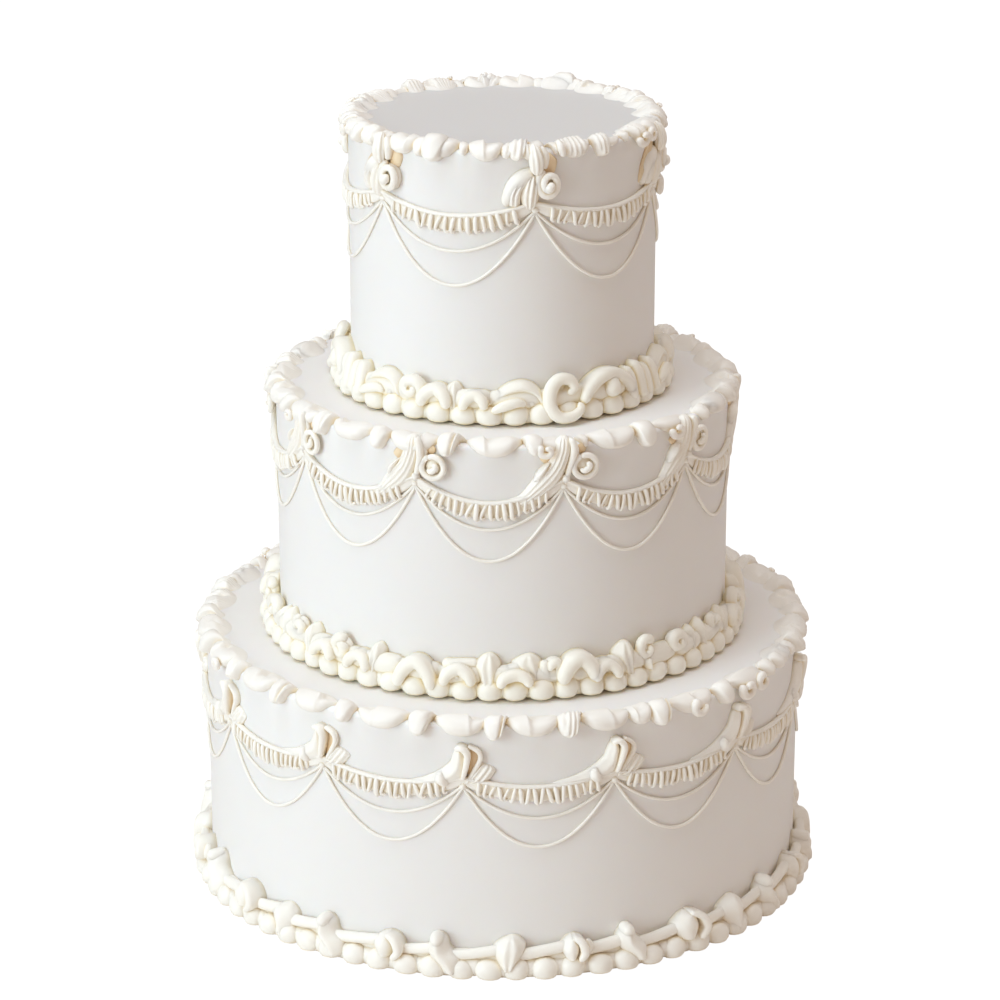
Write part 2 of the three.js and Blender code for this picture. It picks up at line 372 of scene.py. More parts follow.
def on_wall(shell, radius, angle=None, height=0.0):
    """Bends a shell of (along, out, up) corners round a tier. With no angle it stays at its own
    place, with its foot at the origin, as a mould that is set round the tier later."""
    corners, faces = shell
    along, out, up = corners.T
    turn = along / radius + (angle or 0.0)
    reach = radius + out
    x, y = reach * np.sin(turn), -reach * np.cos(turn)
    if angle is None:
        y = y + radius
    return facing_out((np.stack([x, y, up + height], 1), faces))


class Number:
    """A number in a node tree, so that sizes are worked out with + - * / as in plain sums."""

    def __init__(self, add, source):
        self.add, self.source = add, source

    def sum(self, operation, *others):
        terms = {f"n{k}": value for k, value in enumerate((self, *others))}
        made = self.add("ShaderNodeMath", dict(operation=operation), **terms)
        return Number(self.add, made.outputs[0])

    def __add__(self, other):
        return self.sum("ADD", other)

    def __sub__(self, other):
        return self.sum("SUBTRACT", other)

    def __mul__(self, other):
        return self.sum("MULTIPLY", other)

    def __truediv__(self, other):
        return self.sum("DIVIDE", other)


def node_tree(name, kinds):
    """Geometry Nodes tree with named inputs, which are given as numbers, and what adds to it."""
    tree = bpy.data.node_groups.new(name, "GeometryNodeTree")
    tree.is_modifier = True
    for label, kind in kinds.items():
        tree.interface.new_socket(label, in_out="INPUT", socket_type=f"NodeSocket{kind}")
    tree.interface.new_socket("Geometry", in_out="OUTPUT", socket_type="NodeSocketGeometry")
    add = adder(tree)
    entry = add("NodeGroupInput")
    return tree, add, {label: Number(add, entry.outputs[label]) for label in kinds}


def random_number(add, seed, low=-1.0, high=1.0):
    """A seeded random number for each piece."""
    draw = add("FunctionNodeRandomValue", dict(data_type="FLOAT"), n2=low, n3=high, n8=seed)
    return Number(add, draw.outputs[1])


def joined(add, x=0.0, y=0.0, z=0.0):
    """Three numbers as a place, a turn or a scale."""
    return add("ShaderNodeCombineXYZ", n0=x, n1=y, n2=z).outputs[0]


def round_the_axis(add, radius, angle, height):
    """Place at an angle from the front to the right."""
    return joined(add, radius * angle.sum("SINE"), radius * angle.sum("COSINE") * -1, height)


def end_tree(add, placed, icing):
    """Makes the placed copies real and smooth, in their icing."""
    real = add("GeometryNodeRealizeInstances", Geometry=placed.outputs[0])
    smooth = add("GeometryNodeSetShadeSmooth", Geometry=real.outputs[0])
    iced = add("GeometryNodeSetMaterial", Geometry=smooth.outputs[0], Material=icing)
    add("NodeGroupOutput", Geometry=iced.outputs[0])


def set_round_tier():
    """Tree that sets copies of the moulds round a tier, either level or along hanging swags."""
    tree, add, value = node_tree("set_round_tier", {
        "Moulds": "Collection", "Kinds": "Int", "Swags": "Int", "Pieces": "Int", "From": "Float",
        "To": "Float", "Radius": "Float", "Height": "Float", "Sag": "Float", "Start": "Float",
        "Taper": "Float", "Size Change": "Float", "Lean": "Float", "Shuffle": "Float",
        "Seed": "Int", "Icing": "Material"})
    index = Number(add, add("GeometryNodeInputIndex").outputs[0])
    swag = (index / value["Pieces"]).sum("FLOOR")
    step = (index - swag * value["Pieces"] + 0.5) / value["Pieces"]
    share = value["From"] + (value["To"] - value["From"]) * step
    span = value["Radius"] * TURN / value["Swags"]
    angle = value["Start"] + (swag + share) * TURN / value["Swags"]
    hang = share * (share * -1 + 1) * 4
    place = round_the_axis(add, value["Radius"], angle, value["Height"] - value["Sag"] * hang)
    slope = (value["Sag"] * 4 * (share * -2 + 1) / span).sum("ARCTANGENT")
    lean = random_number(add, value["Seed"]) * value["Lean"]
    shrink = (hang.sum("SQRT") * 0.5 - 0.5) * value["Taper"] + 1
    size = shrink * (random_number(add, value["Seed"] + 7) * value["Size Change"] + 1)
    points = add("GeometryNodePoints", Count=value["Swags"] * value["Pieces"], Position=place)
    moulds = add("GeometryNodeCollectionInfo", Collection=value["Moulds"],
                 Separate_Children=True, Reset_Children=True)
    shuffled = random_number(add, value["Seed"] + 13, 0.0) * value["Shuffle"]
    pick = (index + shuffled.sum("FLOOR")).sum("FLOORED_MODULO", value["Kinds"])
    placed = add("GeometryNodeInstanceOnPoints", Points=points.outputs[0],
                 Instance=moulds.outputs[0], Pick_Instance=True, Instance_Index=pick,
                 Rotation=joined(add, y=slope * 0.6 + lean, z=angle),
                 Scale=joined(add, size, size, size))
    end_tree(add, placed, value["Icing"])
    return tree


def grown(name, tree, values):
    """Runs a tree on an empty piece and keeps the result as a plain mesh."""
    piece = bpy.data.objects.new(name, bpy.data.meshes.new(name))
    bpy.context.collection.objects.link(piece)
    modifier = piece.modifiers.new("piping", "NODES")
    modifier.node_group = tree
    sockets = {item.name: item.identifier for item in tree.interface.items_tree
               if item.in_out == "INPUT"}
    for label, value in values.items():
        modifier[sockets[label]] = value
    piece.update_tag()
    graph = bpy.context.evaluated_depsgraph_get()
    graph.update()
    mesh = bpy.data.meshes.new_from_object(piece.evaluated_get(graph))
    piece.modifiers.clear()
    piece.data = mesh
    mesh.name = name
    return piece


def set_out(name, shells, tier, height, **values):
    """Makes a mould from each shell, or list of shells, sets copies of them in turn or shuffled
    round the tier, and takes the moulds away."""
    moulds = bpy.data.collections.new("moulds")
    bpy.context.scene.collection.children.link(moulds)
    made = []
    for k, shell in enumerate(shells):
        mould = new_piece(f"mould_{k:02d}", on_wall(together(shell), tier["radius"]), piping)
        bpy.context.collection.objects.unlink(mould)
        moulds.objects.link(mould)
        made.append(mould)
    settings = {
        "Moulds": moulds, "Kinds": len(shells), "Swags": 1, "From": 0.0, "To": 1.0,
        "Radius": tier["radius"] * MM, "Height": height * MM, "Sag": 0.0, "Start": 0.0,
        "Taper": 0.0, "Size Change": 0.03, "Shuffle": 50.0, "Icing": piping}
    settings.update({label.replace("_", " "): value for label, value in values.items()})
    piece = grown(name, round_tier_tree, settings)
    for mould in made:
        bpy.data.objects.remove(mould)
    bpy.data.collections.remove(moulds)
    return piece


# The last colour of each icing is painted shade, laid on its deepest hollows
piping = piped_icing("piped_ivory_icing", (0.955, 0.912, 0.84), (0.965, 0.93, 0.875),
                     (0.97, 0.86, 0.68))
foot_piping = piped_icing("piped_butter_icing", (0.958, 0.908, 0.812), (0.968, 0.928, 0.85),
                          (0.99, 0.85, 0.57))
round_tier_tree = set_round_tier()
for name, tier in TIERS.items():
    out, up = PEARL["out"], PEARL["up"]
    pitch = TURN * tier["radius"] / tier["pearls"]
    half = min(PEARL["half"], PEARL["share_of_pitch"] * pitch)
    row = set_out(f"pearl_row_{name}", [
        pearl(half, out, up), pearl(half * 0.97, out - 0.3, up, 0.6),
        pearl(half * 1.03, out, up - 0.3, -0.5)], tier, tier["base"], Pieces=tier["pearls"],
        Seed=3, Lean=0.03, Icing=piping if name == "bottom" else foot_piping)
    stands_for(f"foot_pearls_{name}", "piped_icing", row)

# Scroll rope and shells above the pearls
# Low icing sinks in behind the pearls, and over them a thick rope from a plain nozzle runs from
# shell to shell. Where it starts again, the bag is swirled into a rosebud, arched over a pearl or
# drawn down into a fluted shell.


def coil(middle, outer, inner, turns, start, halves, outs, tall=1.0):
    """Path of a swirl round a middle (along, up): it starts outside at start degrees and winds
    inwards. halves and outs are its half widths and heights off the wall, outside and inside."""
    steps = int(abs(turns) * 10) + 1
    path = []
    for k in range(steps + 1):
        share = k / steps
        angle = math.radians(start) + share * turns * TURN
        reach = outer + (inner - outer) * share
        path.append((middle[0] + reach * math.cos(angle),
                     outs[0] + (outs[1] - outs[0]) * share ** 1.5,
                     middle[1] + tall * reach * math.sin(angle),
                     halves[0] + (halves[1] - halves[0]) * share))
    return path


def bead(along, up, half, out):
    """Round dot on the wall, as high as out."""
    return stroke([(along, -0.4, up, half * 0.95), (along, 0.45 * out, up, half),
                   (along, out, up, half * 0.8)], sides=14, steps=9)


def moved(shell, along, up=0.0):
    """The same shell further along the wall."""
    return shell[0] + np.array([along, 0.0, up]), shell[1]


# Share of a blade's length in which it rounds off to each end
BLADE_END = 0.09


def blade(left, right, outs, steps=26, across=11, ribs=0, groove=0.0):
    """Broad domed stroke between two edges, given as (along, up) points on the wall. outs are its
    heights off the wall, spread evenly along it."""
    shares = 0.5 - 0.5 * np.cos(np.linspace(0, math.pi, steps))
    left, right = along_spline(left, shares), along_spline(right, shares)
    peak = np.maximum(along_spline([(out,) for out in outs], shares)[:, 0], 0.1)
    end = np.sqrt(1 - (1 - np.clip(np.minimum(shares, 1 - shares) / BLADE_END, 0, 1)) ** 2)
    middle = 0.5 * (left + right)
    left, right = (middle + (edge - middle) * end[:, None] for edge in (left, right))
    over = np.linspace(0, 1, across)
    fluted = 1 - groove * (0.5 - 0.5 * np.cos(ribs * TURN * over))
    dome = np.sqrt(1 - (2 * over - 1) ** 2) * fluted
    corners = [(middle[0][0], 0.0, middle[0][1])]
    for i in range(1, steps - 1):
        for share, rise in zip(over, dome):
            along, up = left[i] * (1 - share) + right[i] * share
            corners.append((along, peak[i] * end[i] * rise - SUNK, up))
    corners.append((middle[-1][0], 0.0, middle[-1][1]))
    return closed_shell(corners, across)


def bed(pitch, up=12.4, out=3.4, half=5.2):
    """Low rope behind, that carries the rest, and the icing that has sunk in behind the pearls."""
    back = stroke([(-0.60 * pitch, out - 0.4, up + 0.4, half - 0.4),
                   (-0.2 * pitch, out, up - 0.3, half), (0.2 * pitch, out, up + 0.4, half),
                   (0.60 * pitch, out - 0.4, up, half - 0.4)],
                  sides=12, flat=0.75, steps=12, rooted=True)
    sunk = stroke([(-0.60 * pitch, 3.0, 4.9, 4.6), (0.0, 3.0, 4.8, 4.6),
                   (0.60 * pitch, 3.0, 4.9, 4.6)], sides=12, flat=0.9, steps=12, rooted=True)
    return together(back, sunk)


def rope(left, right, low, high, half=2.9):
    """Rope that climbs from one shell to the next."""
    span = right - left
    return stroke([(left, 2.6, low + 0.6, half * 0.8), (left + 0.25 * span, 3.4, low, half),
                   (left + 0.60 * span, 3.5, low + 0.45 * (high - low), half),
                   (right, 2.6, high, half * 0.85)], sides=14, flat=0.85, rooted=True)


def foot_shell(middle, top, foot, wide, out, lean=0.0, ribs=3, groove=0.13, tip=2.0):
    """Broad shell, full at its top, that is drawn down over the pearls."""
    high = top - foot
    return blade(
        [(middle - 0.30 * wide, top - 0.9), (middle - wide, top - 0.32 * high),
         (middle - 0.86 * wide + 0.4 * lean, top - 0.62 * high), (middle + lean - tip, foot)],
        [(middle + 0.45 * wide, top), (middle + wide, top - 0.26 * high),
         (middle + 0.86 * wide + 0.5 * lean, top - 0.60 * high),
         (middle + lean + tip, foot + 0.7)],
        (0.55 * out, 0.92 * out, out, 1.04 * out), steps=20, across=6 * ribs + 1, ribs=ribs,
        groove=groove)


def rosebud(middle, up, size=1.0, turns=1.3, start=-70, tall=0.9):
    """Swirl wound on itself like the petals of a bud, with no hollow left in it."""
    swirl = stroke(coil((middle, up), 4.4 * size, 1.0 * size, turns, start,
                        (2.9 * size, 2.3 * size), (4.0 * size, 6.6 * size), tall),
                   sides=12, steps=34)
    return together(swirl, bead(middle, up, 5.6 * size, 6.2 * size))


def folded_bud(middle, low, high, wide, out=8.0):
    """Round bud with a fold laid over its right side."""
    tall = high - low
    return together(
        blade([(middle - 0.35 * wide, high - 0.4), (middle - 1.0 * wide, high - 0.45 * tall),
               (middle - 0.5 * wide, low)],
              [(middle + 0.30 * wide, high), (middle + 0.80 * wide, high - 0.45 * tall),
               (middle + 0.45 * wide, low + 0.3)], (0.75 * out, out, 0.95 * out), steps=18,
              across=13),
        stroke([(middle + 0.05 * wide, 0.66 * out, high - 0.2, 1.2),
                (middle + 0.72 * wide, 0.80 * out, high - 0.20 * tall, 2.0),
                (middle + 1.0 * wide, 0.86 * out, high - 0.62 * tall, 2.2),
                (middle + 0.55 * wide, 0.92 * out, low + 0.4, 1.3)], sides=12, rooted=True))


def band_faces(count, size, closed=True):
    """Faces between count sections of size corners each, one beside the other."""
    return [(k * size + c, (k + 1) % count * size + c, (k + 1) % count * size + (c + 1) % size,
             k * size + (c + 1) % size)
            for k in range(count if closed else count - 1) for c in range(size)]


# Share of its way to the next shell in which the running rope climbs, before it drops again
ROPE_CLIMB = 0.88


def running_rope(tier, start, low, high, half=2.7, out=3.6, steps=12):
    """Closed rope round the tier. From each shell to the next it climbs from low to high."""
    count, sides = tier["scrolls"] * steps, 12
    around = np.linspace(0, TURN, sides, endpoint=False)
    corners = []
    for k in range(count):
        share = (k / steps - 0.5) % 1
        drop = (share - ROPE_CLIMB) / (1 - ROPE_CLIMB)
        climb = (share / ROPE_CLIMB) ** 1.15 if drop < 0 else 0.5 + 0.5 * math.cos(drop * math.pi)
        angle = start + k / count * TURN
        # The hand is never quite steady
        thick = half * (1 + 0.05 * math.sin(5 * angle) + 0.04 * math.sin(23 * angle))
        middle = tier["base"] + low + (high - low) * climb + 0.5 * math.sin(7 * angle)
        reach = tier["radius"] + out + 0.9 * thick * np.sin(around)
        corners.extend(zip(reach * math.sin(angle), -reach * math.cos(angle),
                           middle + thick * np.cos(around)))
    return facing_out((np.array(corners), band_faces(count, sides)))


def arch(left, right, low, high, half, out=6.6):
    """Arch of rope whose feet rest on the pearls."""
    middle, reach, shoulder = 0.5 * (left + right), 0.5 * (right - left), 0.5 * (low + high)
    return stroke([(left, out + 2.4, low, half * 0.7),
                   (middle - 0.76 * reach, out + 1.2, shoulder + 1, half),
                   (middle - 0.26 * reach, out, high - 0.3, half * 1.1),
                   (middle + 0.26 * reach, out, high, half * 1.05),
                   (middle + 0.76 * reach, out + 1.2, shoulder + 1.4, half * 0.96),
                   (right, out + 2.4, low + 0.5, half * 0.7)], sides=14, steps=26, rooted=True)


def bow(middle):
    """Shell whose knob rises and whose broad lower lobe lies over a pearl."""
    return together(
        blade([(middle - 4.6, 21.4), (middle - 6.6, 17.4), (middle - 6, 13), (middle - 3, 8.4),
               (middle + 1.6, 2.6)],
              [(middle - 0.4, 24.4), (middle + 3, 21.4), (middle + 4.6, 16.6),
               (middle + 9.4, 12.4), (middle + 10.2, 4.6)],
              (7.8, 10, 11, 11.4, 11.4), steps=28, across=15, ribs=2, groove=0.09),
        bead(middle - 1.6, 21.6, 3.3, 10.2))


def leafy_arch():
    """Long smooth leaf that arches over a hollow with a dot in it."""
    return together(
        blade([(-16.6, 8.4), (-11, 14.6), (-3.6, 20.8), (4.6, 22.4), (11.4, 18.6), (15.6, 9.6)],
              [(-15.6, 7.6), (-9, 9.6), (-3.2, 13.2), (3.6, 15.4), (8.6, 12.8), (12.6, 8.2)],
              (7.6, 7, 7.2, 7.4, 7.6, 9), steps=30, across=13, ribs=2, groove=0.08),
        stroke([(-10.6, 9, 8, 1.6), (-5, 9, 10.8, 2.6), (0.6, 8.4, 12.4, 2.4),
                (4.6, 7.6, 11, 1.3)], sides=12),
        bead(7.6, 11.2, 2.1, 7.4))


def c_scroll(pitch):
    """Large C-scroll that wraps a pearl, with its head curled in."""
    return together(
        stroke([(1.6, 7.4, 14.8, 1.4), (4.6, 7, 17.6, 2.2), (3, 6, 21.6, 2.9),
                (-2.4, 5.6, 22.4, 3.2), (-6.6, 6.4, 17.6, 3.4), (-7.6, 8.4, 10.4, 3.2),
                (-4.2, 10.6, 4.6, 2.9), (2, 11.2, 4.2, 2.7), (6.4, 10.4, 7.4, 2),
                (6.2, 9.4, 10.6, 1.2)], sides=14, steps=50),
        foot_shell(-1, 20.4, 10, 4.4, 5.8, 1, 2),
        rope(5, 0.74 * pitch, 13.4, 18.6, 2.8))


def arch_and_drop():
    """Arch of rope with a teardrop under its peak."""
    return together(
        arch(-14.4, 14.4, 8.6, 20.4, 3, 6),
        stroke([(1.6, 4.6, 21, 1.8), (1.6, 6.6, 16.6, 3.6), (1.4, 7.6, 12.6, 4),
                (1.2, 8, 9.4, 3.2)], sides=14, steps=20),
        foot_shell(-5, 17, 8.6, 2.6, 6.8, 0.8, 1), foot_shell(7.2, 16.6, 8.6, 2.5, 6.8, -0.6, 1))


def slabs(pitch):
    """Thick upright strokes, each laid against the one before."""
    made = []
    for k, (tall, slant) in enumerate(((20.5, 0.8), (22.4, 1.6), (20.0, 0.6), (21.6, 1.4))):
        along = (k - 1.5) * 0.26 * pitch
        made.append(stroke([(along - slant, 3.4, tall, 2.2), (along, 5.4, tall - 5, 3.2),
                            (along + 0.5 * slant, 7, 0.5 * tall, 3.1),
                            (along + slant, 8.8, 4.6, 2.4)],
                           sides=14, ribs=3, groove=0.10, rooted=True))
    return together(made)


TOP_PITCH = TURN * TIERS["top"]["radius"] / TIERS["top"]["scrolls"]
# What follows on what round each foot, from start degrees to the right of the front
FOOT_SCROLLS = {
    "top": dict(start=-4.3, kinds=[
        leafy_arch(), c_scroll(TOP_PITCH), arch_and_drop(), slabs(TOP_PITCH), leafy_arch(),
        [rosebud(-4, 15.5, 1.2), arch(2, 15, 8, 16.6, 3)],
        [foot_shell(-6.6, 21, 6, 5, 8.4, 1.6), arch(-0.6, 9.6, 8.6, 15.4, 2.6, 7.4)]]),
    "middle": dict(start=-5, kinds=[
        [foot_shell(-7.4, 24, 4.4, 6.6, 9.4, 1, 3), arch(-1.4, 12.6, 8.4, 14.2, 2.8, 8.4),
         rope(-3, 12, 14, 18, 3.2)],
        [foot_shell(-8.6, 23.6, 9, 7.6, 7.8, 4, 3), rosebud(4.4, 16.4, 1.05, 1.2, 140, 1.3),
         rope(6, 14, 13, 15)],
        [arch(-12.8, 3.6, 8, 19.4, 3.8, 6.8), foot_shell(-4.4, 20, 9.6, 4.6, 7.6, 0, 3),
         arch(3, 14.6, 8.2, 15.4, 2.7, 7.8)],
        [foot_shell(-0.4, 23.6, 6, 6, 8.8, 2.4, 3), rope(3, 13.6, 12.4, 14)],
        [rosebud(-8.2, 17.4, 0.96, 1.1, 20, 1.25), foot_shell(-7.4, 14.6, 6.8, 3.6, 9.4, 0.6, 2),
         rope(-5, 8, 12.4, 14.6)],
        [rosebud(-9, 16.8, 1.14), rope(-5, 3, 12, 14.6),
         foot_shell(3.4, 21.6, 6.6, 4.2, 8, -1, 2), rope(5, 13, 12, 14)],
        [foot_shell(-8.6, 23, 6.6, 4.8, 8.2, 1.4, 2), rope(-5, 4, 12.4, 15),
         rosebud(5, 16.8, 1, 1.3, 100), rope(7, 14, 12.4, 14)],
        [foot_shell(-5, 22, 6, 5.2, 8.6, 1, 3), arch(1, 13.2, 8.4, 15, 2.7, 7.4)],
        [rosebud(-3, 16.4, 1.16, 1.2, 60), arch(2.4, 14.2, 8.4, 15.6, 2.7, 7)],
        [foot_shell(-2.6, 22.6, 6.4, 4.6, 8.4, -1.4, 3), rope(1, 13, 12.6, 14.4)],
        [arch(-9.6, 7.6, 5, 17.6, 3.4, 7.6), rosebud(-1.2, 12.4, 0.8), rope(6, 13, 13, 14.6)],
        [arch(-7.6, 6.4, 8.2, 16.4, 3, 7.2), bead(-1, 12.4, 1.9, 8),
         rope(-9, 9, 17.6, 18.6, 2.8)]]),
    "bottom": dict(start=7.2, kinds=[
        [folded_bud(-1.2, 9, 21.4, 5.6, 10.6),
         stroke([(6, 4.4, 19, 1.3), (7.6, 5.4, 15.6, 1.9), (6.2, 6, 11.4, 1.5)], sides=12)],
        bow(-2),
        folded_bud(0, 7.8, 22.2, 8.8, 11),
        foot_shell(-0.4, 21, 3.8, 8.2, 11, 1.6, 2, 0.10),
        moved(bow(-2), 0, -2.2),
        folded_bud(-0.6, 7.6, 20.4, 7.2, 10.6),
        moved(bow(-3), 0, -1.6),
        foot_shell(-0.6, 21.6, 4, 7.8, 10.8, -1.2, 3, 0.10)]),
}
for name, tier in TIERS.items():
    start = math.radians(FOOT_SCROLLS[name]["start"])
    pitch = TURN * tier["radius"] / tier["scrolls"]
    # The shells of the bottom tier stand further apart, so what carries them is lower and thinner
    back = bed(pitch, *((10.0, 1.2, 3.4) if name == "bottom" else ()))
    kinds = [together(back, together(kind)) for kind in FOOT_SCROLLS[name]["kinds"]]
    pieces = [set_out(f"scroll_rope_{name}", kinds, tier, tier["base"], Pieces=tier["scrolls"],
                      Start=start, Seed=11, Lean=0.04, Shuffle=0.0, Size_Change=0.04,
                      Icing=piping if name == "bottom" else foot_piping)]
    if name == "bottom":
        pieces.append(new_piece("running_rope_bottom", running_rope(tier, start, 11.4, 15.4, 2.9),
                                piping))
    stands_for(f"foot_scrolls_{name}", "piped_icing", *pieces)

# Petal border on the top edge
# Wide soft petals from a flat petal nozzle, pressed on the tier's top and drawn out over the edge,
# each with a notch, a fan of ridges or a curl, and between them upright drops from a round nozzle.
PETAL_COLUMNS, PETAL_ROWS = 44, 18
PETAL_OUT, PETAL_REACH, PETAL_HANG = 5.4, 13.0, 5.4
PETAL_WIDEST, PETAL_SHARE_OF_PITCH = 15.0, 0.46
# How far in from the edge the petal's two corners start and end, and how deep it has sunk in
CORNER_START, CORNER_END, PETAL_SUNK = 3.6, 2.8, 0.4
# Share of its length at which a petal is fullest
PETAL_PEAK = 0.70


def over_the_edge(run):
    """Place (out, up) and outward direction at a distance along the tier's skin, from where its
    rounded edge starts on the top. Negative distances lie on the top."""
    turn = np.clip(run / EDGE_ROUND, 0, math.pi / 2)
    out = -EDGE_ROUND + EDGE_ROUND * np.sin(turn) + np.minimum(run, 0)
    up = -EDGE_ROUND + EDGE_ROUND * np.cos(turn) - np.maximum(run - EDGE_ROUND * math.pi / 2, 0)
    return out, up, np.sin(turn), np.cos(turn)


def petal(half_width, lean=0.0, notch=None, side=1, fan=None, hang=PETAL_HANG,
          reach=PETAL_REACH, thick=PETAL_OUT, tilt=0.0, ribs=0, fold=None, columns=PETAL_COLUMNS,
          at=0.0):
    """Petal that grows out of the tier's top without an edge and swells to a full lip that smiles
    below the rim. A notch is where one half lies over the other, a fan is where its ridges meet,
    and a fold is a crease down its length. It is set at a distance along the rim."""
    corners = []
    t = np.linspace(0, 1, PETAL_ROWS + 1)
    rise = np.where(t < PETAL_PEAK,
                    np.sin(np.clip(t / PETAL_PEAK, 0, 1) * math.pi / 2) ** 2.3,
                    np.sqrt(np.clip(1 - ((t - PETAL_PEAK) / (1 - PETAL_PEAK)) ** 2, 0, 1)))
    for v in np.linspace(-1, 1, columns + 1):
        full = (1 - abs(v) ** 2.1) ** 0.8
        start = -(CORNER_START + (reach - CORNER_START) * full)
        end = -CORNER_END + (EDGE_ROUND * (math.pi / 2 - 1) + hang + CORNER_END) * full
        high = thick * (0.10 + 0.90 * full ** 0.7) * rise * (1 + lean * v)
        # A groove and a roll run along the lip
        high = high * (1 - 0.12 * full * np.exp(-((t - 0.72) / 0.05) ** 2)
                       + 0.12 * full * np.exp(-((t - 0.86) / 0.06) ** 2))
        if notch is not None:
            past = side * (v - notch) - 0.35 * (t - 0.5)
            cliff = 1 / (1 + np.exp(-past / 0.03))
            fade = np.clip(1 - past / 0.85, 0, 1) ** 1.2
            scoop = np.exp(-((t - 0.55 - 0.06 * past) / 0.17) ** 2)
            high = high * (1 - 0.74 * cliff * fade * scoop)
            high = high * (1 + 0.08 * np.exp(-((past + 0.06) / 0.06) ** 2))
        if fan is not None:
            turn = np.arctan2((v - fan) * half_width, (t + 0.4) * 12)
            high = high * (1 - 0.16 * full * (0.5 - 0.5 * np.cos(38 * turn)))
        if ribs:
            high = high * (1 - 0.15 * full * (0.5 - 0.5 * math.cos(ribs * math.pi * (v + 1))))
        if fold is not None:
            crease = np.exp(-((v - fold - 0.5 * (0.7 - t)) / 0.10) ** 2)
            high = high * (1 - 0.42 * crease * np.sin(t * math.pi))
        high[0] = high[-1] = 0
        out, up, level, lift = over_the_edge(start + (end - start) * t)
        high = high - PETAL_SUNK
        for o, u, a, b, h, lower in zip(out, up, level, lift, high, t):
            corners.append((v * half_width + tilt * (0.8 - lower), o + a * h, u + b * h))
    size = PETAL_ROWS + 1
    faces = band_faces(columns + 1, size, closed=False)
    faces.append(tuple(range(size)))
    faces.append(tuple(columns * size + r for r in range(size))[::-1])
    return moved((np.array(corners), faces), at)


def lip_curl(along, size, start=160, turns=1.0):
    """Curl of a narrow stroke on a petal's lip."""
    return stroke(coil((along, -1.5), 3.3 * size, 1.5 * size, turns, start,
                       (1.8 * size, 1.2 * size), (4.4, 5.8), 0.9), sides=12, steps=28)


def thumb(tilt, low, half, ribs=0, lip=False, at=0.0):
    """Narrow drop of icing that bends over the rim to a full round end, with a crease if it has a
    lip."""
    return petal(1.3 * half, hang=low - 1.0, reach=9.0, thick=1.50 * half, tilt=2.2 * tilt,
                 ribs=ribs, fold=0.30 if lip else None, columns=24, at=at)


# The last colour is painted shade, laid on the border's deepest hollows
border_icing = piped_icing("piped_white_icing", (0.915, 0.878, 0.822), (0.93, 0.90, 0.852),
                           (0.95, 0.81, 0.58))
